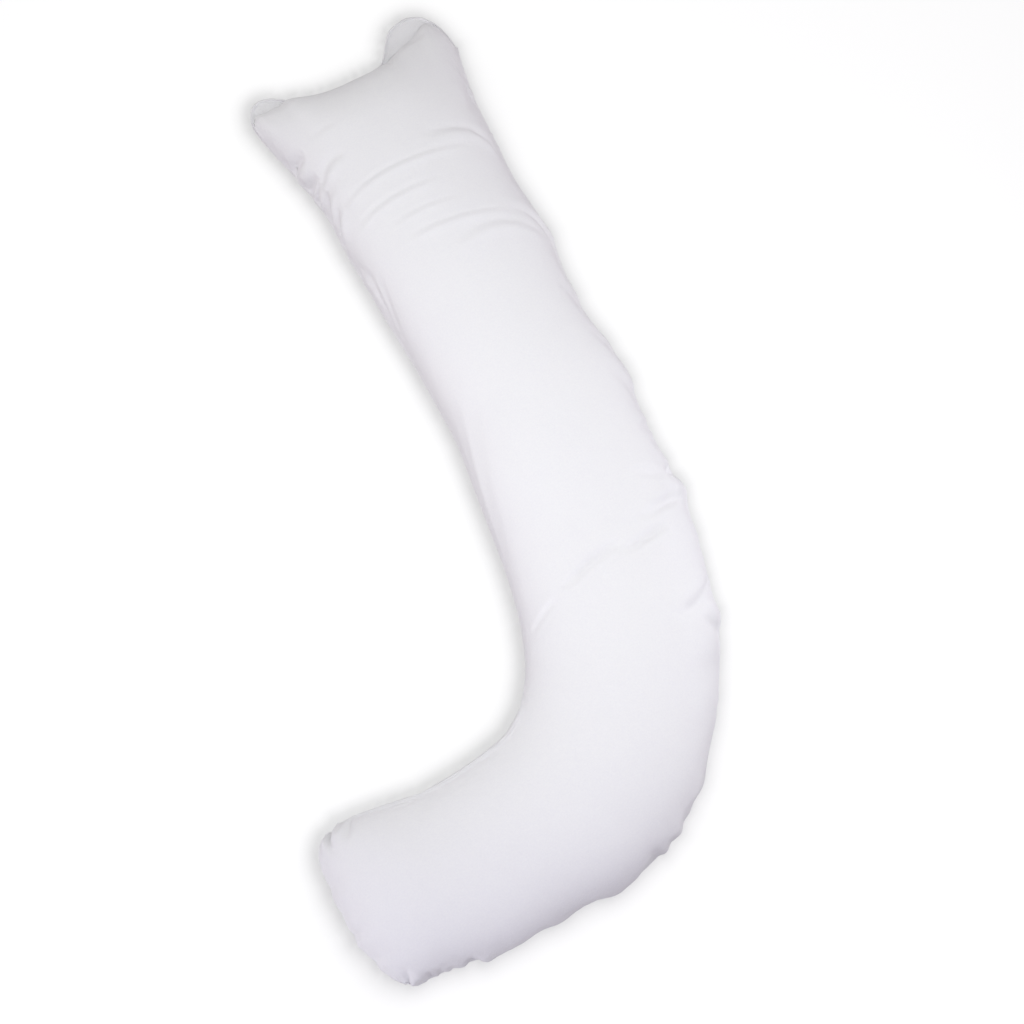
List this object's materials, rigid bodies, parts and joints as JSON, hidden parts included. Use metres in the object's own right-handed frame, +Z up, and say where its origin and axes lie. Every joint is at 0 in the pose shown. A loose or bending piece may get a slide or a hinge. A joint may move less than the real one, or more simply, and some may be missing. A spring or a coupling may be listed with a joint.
{
  "type": "body pillow",
  "caption": "Long J-shaped body pillow to lie against in bed: plump filled cotton with gathered seams, flat corner ears at the head end and a short turned foot.",
  "frame": {"origin": "on the floor, under the middle of the pillow's bounding box", "axes": "+Z up out of the pillow's face, +Y along the long arm towards the eared head end, +X to the outer side of the J; the short foot turns towards -X"},
  "size_m": [0.6593, 1.3437, 0.1752],
  "materials": {
    "white_cotton": "smooth white cotton, matt with a faint sheen"
  },
  "bodies": {
    "root": {"pillow": "white_cotton"}
  },
  "joints": []
}
